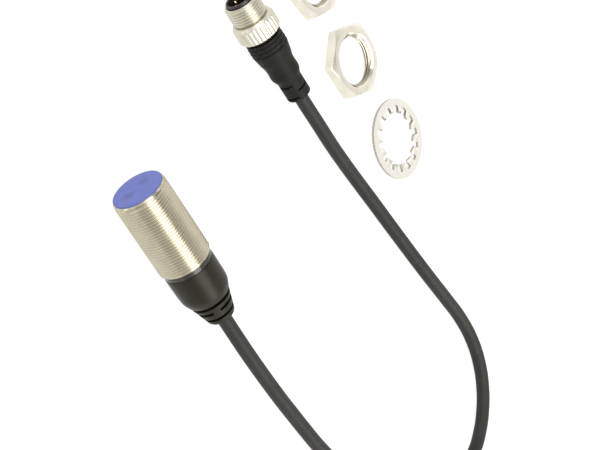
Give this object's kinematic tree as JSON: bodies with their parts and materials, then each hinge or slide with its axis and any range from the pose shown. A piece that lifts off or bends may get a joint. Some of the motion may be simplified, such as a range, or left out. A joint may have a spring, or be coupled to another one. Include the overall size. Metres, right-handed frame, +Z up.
{
  "type": "inductive proximity sensor",
  "caption": "Flush inductive proximity sensor with a threaded metal barrel, blue sensing face, short cable with a round screw plug, and loose mounting nuts and toothed washer.",
  "frame": {"origin": "centre of the flat sensing face", "axes": "+X out of the sensing face along the barrel's axis, +Z up; the sensor, cable, plug, nuts and washer lie on the plane Z = -9 mm"},
  "size_m": [0.2049, 0.1428, 0.018],
  "materials": {
    "nickel_barrel": "nickel-plated brass, turned, satin bright",
    "face_blue": "smooth semi-matt moulded plastic",
    "ferrite": "sintered ferrite, matt",
    "bobbin_plastic": "natural nylon",
    "copper_wire": "enamelled copper winding",
    "resin": "cured potting resin",
    "board": "glass-epoxy board with solder mask",
    "chip_plastic": "moulded epoxy",
    "ceramic": "fired ceramic chip",
    "led_plastic": "clear amber epoxy",
    "lens_plastic": "smoked translucent ring, glossy",
    "seal_rubber": "nitrile rubber",
    "cap_plastic": "warm black, satin moulded",
    "relief_plastic": "flexible moulded strain relief, satin",
    "wire_brown": "PVC wire insulation",
    "wire_black": "PVC wire insulation",
    "wire_blue": "PVC wire insulation",
    "cable_jacket": "matt black PVC or PUR jacket",
    "grip_plastic": "matt black overmould",
    "carrier_plastic": "black moulded contact carrier",
    "pin_metal": "gold-plated contact",
    "nickel_plug": "nickel-plated brass, fluted and threaded",
    "nickel_nut": "nickel-plated brass, turned faces",
    "washer_steel": "plated spring steel, stamped"
  },
  "bodies": {
    "sensor": {"housing_barrel": "nickel_barrel", "sensing_cap": "face_blue", "ferrite_core": "ferrite", "coil_bobbin": "bobbin_plastic", "coil_winding": "copper_wire", "potting_plug": "resin", "circuit_board": "board", "oscillator_chip": "chip_plastic", "output_transistor": "chip_plastic", "voltage_regulator": "chip_plastic", "capacitor_large": "ceramic", "capacitor_small": "ceramic", "resistor_front": "chip_plastic", "resistor_rear": "chip_plastic", "indicator_led": "led_plastic", "light_ring": "lens_plastic", "cap_seal": "seal_rubber", "rear_cap": "cap_plastic", "strain_relief": "relief_plastic", "wire_brown": "wire_brown", "wire_black": "wire_black", "wire_blue": "wire_blue", "cable": "cable_jacket", "connector_grip": "grip_plastic", "vibration_ring": "seal_rubber", "contact_carrier": "carrier_plastic", "contact_pin_1": "pin_metal", "contact_pin_2": "pin_metal", "contact_pin_3": "pin_metal", "contact_pin_4": "pin_metal"},
    "plug_screw": {"coupling_screw": "nickel_plug"},
    "nut_front": {"mounting_nut_front": "nickel_nut"},
    "nut_rear": {"mounting_nut_rear": "nickel_nut"},
    "washer": {"toothed_washer": "washer_steel"}
  },
  "joints": [
    {"name": "coupling_screw_turn", "type": "hinge", "parent": "sensor", "child": "plug_screw", "pos_m": [-0.00295, -0.0802, -0.0016], "axis": [0.9994, 0.0349, 0], "continuous": true},
    {"name": "nut_front_lift", "type": "slide", "parent": "sensor", "child": "nut_front", "axis": [0, 0, 1], "range_m": [0, 0.04]},
    {"name": "nut_rear_lift", "type": "slide", "parent": "sensor", "child": "nut_rear", "axis": [0, 0, 1], "range_m": [0, 0.04]},
    {"name": "washer_lift", "type": "slide", "parent": "sensor", "child": "washer", "axis": [0, 0, 1], "range_m": [0, 0.04]}
  ]
}
